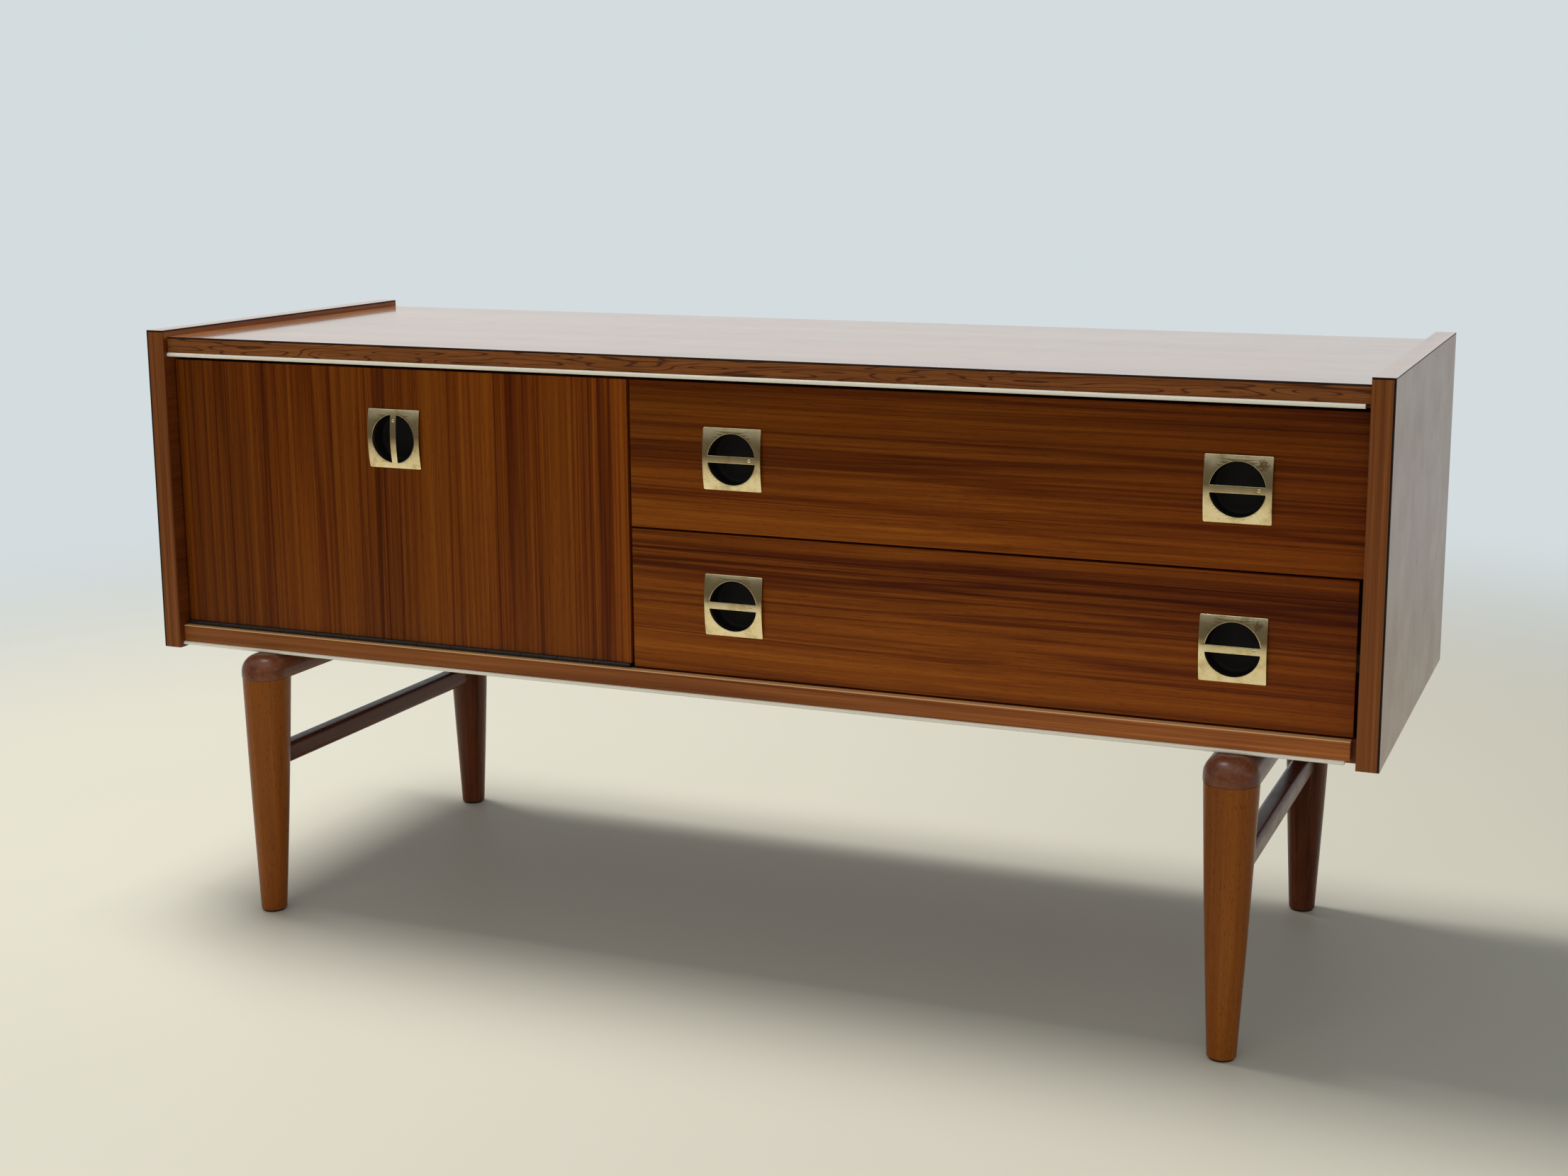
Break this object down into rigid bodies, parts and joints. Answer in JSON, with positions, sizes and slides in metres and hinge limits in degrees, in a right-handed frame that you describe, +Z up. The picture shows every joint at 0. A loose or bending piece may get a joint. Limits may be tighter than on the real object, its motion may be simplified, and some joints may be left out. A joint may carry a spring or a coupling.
{
  "type": "sideboard",
  "caption": "Low sideboard with a drop-down flap compartment and two wide drawers, recessed cup pulls, raised side panels and tapered leg frames.",
  "frame": {"origin": "on the floor, under the middle of the overall footprint", "axes": "+X along the front to the right as seen from the front, +Y to the back, +Z up"},
  "size_m": [1.2, 0.4301, 0.58],
  "materials": {
    "teak_laminate": "gloss wood-effect laminate",
    "teak_edge": "satin gloss wood strip",
    "flap_teak": "satin gloss wood-effect laminate, upright grain",
    "drawer_teak": "satin gloss wood-effect laminate, level grain",
    "case_board": "plain board with a wood-tone lining",
    "box_wood": "bare pale wood",
    "leg_beech": "gloss lacquered beech",
    "frame_wood": "gloss lacquered dark wood",
    "hardboard": "bare hardboard",
    "cream_trim": "satin cream",
    "brass": "polished, slightly tarnished",
    "black_cup": "matte black",
    "black_steel": "dark satin",
    "zinc_steel": "zinc plated"
  },
  "bodies": {
    "case": {"side_panel_left": "case_board", "side_panel_right": "case_board", "side_edge_strip_left": "teak_edge", "side_edge_strip_right": "teak_edge", "side_laminate_left": "teak_laminate", "side_laminate_right": "teak_laminate", "side_top_laminate_left": "teak_laminate", "side_top_laminate_right": "teak_laminate", "top_panel": "case_board", "top_edge_strip": "teak_edge", "top_laminate": "teak_laminate", "bottom_panel": "case_board", "bottom_edge_strip": "teak_edge", "divider_panel": "case_board", "back_panel": "hardboard", "trim_top": "cream_trim", "trim_bottom": "cream_trim", "bearer_left": "frame_wood", "bearer_right": "frame_wood", "stretcher_left": "frame_wood", "stretcher_right": "frame_wood", "leg_front_left": "leg_beech", "leg_front_right": "leg_beech", "leg_back_left": "leg_beech", "leg_back_right": "leg_beech", "runner_upper_left": "box_wood", "runner_upper_right": "box_wood", "runner_lower_left": "box_wood", "runner_lower_right": "box_wood", "hinge_leaf_fixed": "black_steel", "hinge_pin": "black_steel", "catch_body": "black_cup", "stay_base": "zinc_steel"},
    "drawer_upper": {"drawer_upper_front": "drawer_teak", "drawer_upper_side_left": "box_wood", "drawer_upper_side_right": "box_wood", "drawer_upper_back": "box_wood", "drawer_upper_bottom": "box_wood", "drawer_upper_handle_plate_left": "brass", "drawer_upper_handle_plate_right": "brass", "drawer_upper_handle_cup_left": "black_cup", "drawer_upper_handle_cup_right": "black_cup"},
    "drawer_lower": {"drawer_lower_front": "drawer_teak", "drawer_lower_side_left": "box_wood", "drawer_lower_side_right": "box_wood", "drawer_lower_back": "box_wood", "drawer_lower_bottom": "box_wood", "drawer_lower_handle_plate_left": "brass", "drawer_lower_handle_plate_right": "brass", "drawer_lower_handle_cup_left": "black_cup", "drawer_lower_handle_cup_right": "black_cup"},
    "flap": {"flap_panel": "flap_teak", "flap_handle_plate": "brass", "flap_handle_cup": "black_cup", "hinge_leaf_moving": "black_steel", "strike_plate": "zinc_steel", "stay_flap_bracket": "zinc_steel"},
    "stay_rod_body": {"stay_rod": "zinc_steel"},
    "stay_guide_body": {"stay_guide": "black_cup"}
  },
  "joints": [
    {"name": "flap_hinge", "type": "hinge", "parent": "case", "child": "flap", "pos_m": [-0.33, -0.1815, 0.2852], "axis": [1, 0, 0], "range_deg": [0, 90]},
    {"name": "drawer_upper_slide", "type": "slide", "parent": "case", "child": "drawer_upper", "axis": [0, -1, 0], "range_m": [0, 0.28]},
    {"name": "drawer_lower_slide", "type": "slide", "parent": "case", "child": "drawer_lower", "axis": [0, -1, 0], "range_m": [0, 0.28]},
    {"name": "stay_rod_pivot", "type": "hinge", "parent": "flap", "child": "stay_rod_body", "pos_m": [-0.572, -0.1535, 0.4902], "axis": [1, 0, 0], "range_deg": [-45, 0]},
    {"name": "stay_guide_swivel", "type": "hinge", "parent": "case", "child": "stay_guide_body", "pos_m": [-0.572, -0.0695, 0.45917], "axis": [1, 0, 0], "range_deg": [0, 45]}
  ],
  "couplings": [
    {"joint": "stay_rod_pivot", "follows": "flap_hinge", "ratio": -0.5},
    {"joint": "stay_guide_swivel", "follows": "flap_hinge", "ratio": 0.5}
  ]
}
